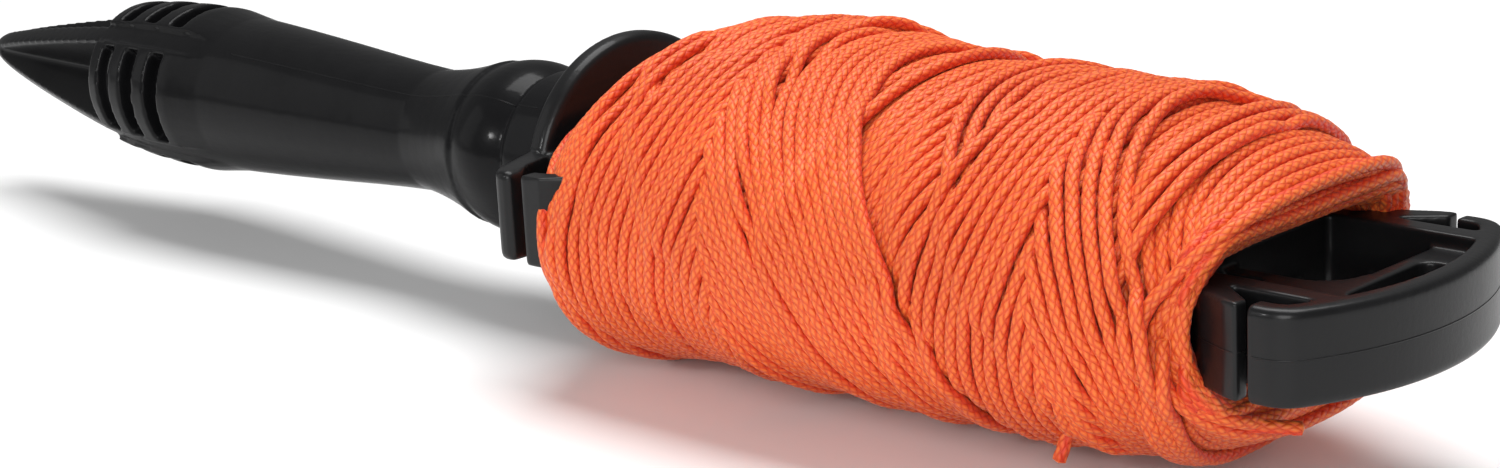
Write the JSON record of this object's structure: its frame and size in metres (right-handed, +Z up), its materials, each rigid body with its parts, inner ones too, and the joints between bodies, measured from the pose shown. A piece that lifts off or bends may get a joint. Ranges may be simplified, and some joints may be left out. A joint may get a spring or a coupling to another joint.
{
  "type": "mason's line reel",
  "caption": "Flat moulded line reel with a freely spinning grip, wound full of braided chalk and mason's line, with line locks at both ends and a hanging loop.",
  "frame": {"origin": "middle of the length and width, on the plane that the winding rests on", "axes": "+X from the grip's nose to the bow along the spin axis, +Y across the flat frame, +Z up through the frame's thickness"},
  "size_m": [0.2796, 0.0576, 0.0451],
  "materials": {
    "frame_black": "moulded satin, fine specks and scuffs",
    "grip_black": "moulded satin, glossier on the ball, with a mould line",
    "bush_nylon": "natural nylon",
    "pin_steel": "turned, bright",
    "line_orange": "braided polyester, high-visibility orange"
  },
  "bodies": {
    "reel": {"swivel_pin": "pin_steel", "head_washer": "pin_steel", "guard_washer": "bush_nylon", "guard_disc": "frame_black", "pin_block": "frame_black", "core_wall": "frame_black", "cross_rib": "frame_black", "bow": "frame_black", "ledge_near": "frame_black", "ledge_far": "frame_black", "core_rib_1": "frame_black", "core_rib_2": "frame_black", "rail_near": "frame_black", "rail_far": "frame_black", "end_lip_near": "frame_black", "end_lip_far": "frame_black", "end_finger_near": "frame_black", "end_finger_far": "frame_black", "bow_finger_near": "frame_black", "bow_finger_far": "frame_black", "line_winding": "line_orange"},
    "grip": {"spinning_grip": "grip_black", "neck_bush": "bush_nylon"}
  },
  "joints": [
    {"name": "grip_spin", "type": "hinge", "parent": "reel", "child": "grip", "pos_m": [0.0092, 0, 0.02247], "axis": [1, 0, 0], "continuous": true}
  ]
}
